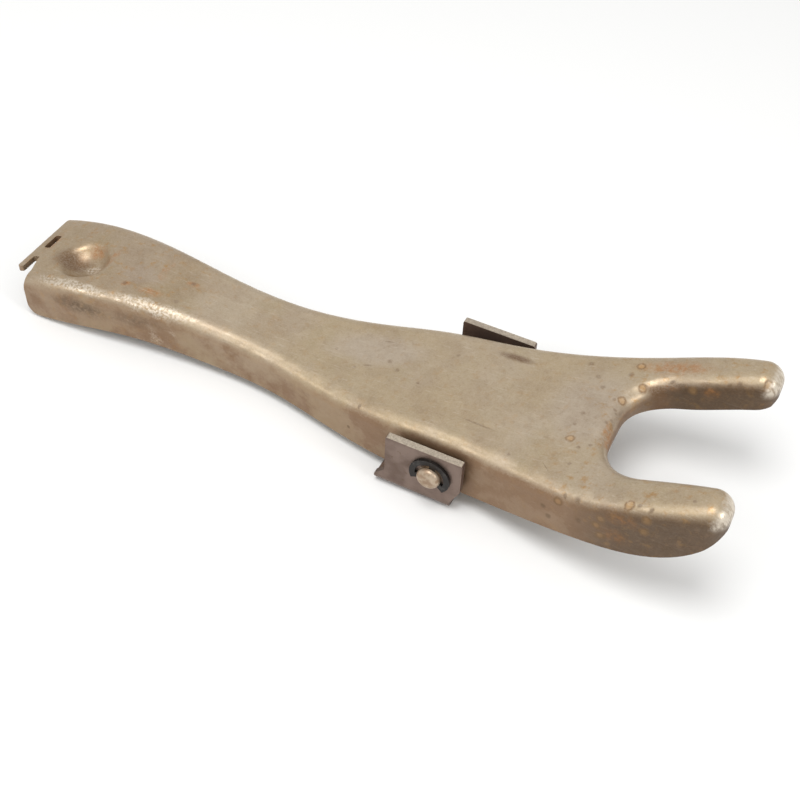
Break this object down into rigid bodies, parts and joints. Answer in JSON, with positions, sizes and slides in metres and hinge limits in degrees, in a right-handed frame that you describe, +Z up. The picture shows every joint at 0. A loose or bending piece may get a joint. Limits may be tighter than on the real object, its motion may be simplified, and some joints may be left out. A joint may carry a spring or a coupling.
{
  "type": "clutch fork",
  "caption": "Pressed steel clutch release fork with two tines, a rod cup and a spring hook, hinged on a pin in a folded steel bracket that bolts down.",
  "frame": {"origin": "middle of the two bolt holes in the pivot bracket's base, on its underside", "axes": "+X along the fork from the tail to the tine tips, +Y along the pivot pin, +Z up from the face that is bolted down"},
  "size_m": [0.3316, 0.0906, 0.0612],
  "materials": {
    "fork_steel": "satin, stained, with rust spots",
    "bracket_steel": "dull, brown oxide",
    "pin_steel": "turned",
    "clip_black": "black oxide"
  },
  "bodies": {
    "bracket": {"pivot_bracket": "bracket_steel", "pivot_pin": "pin_steel", "near_clip": "clip_black", "far_clip": "clip_black"},
    "fork": {"pressed_fork": "fork_steel"}
  },
  "joints": [
    {"name": "fork_swing", "type": "hinge", "parent": "bracket", "child": "fork", "pos_m": [0.008, 0, 0.0172], "axis": [0, 1, 0], "range_deg": [-2, 20]}
  ]
}
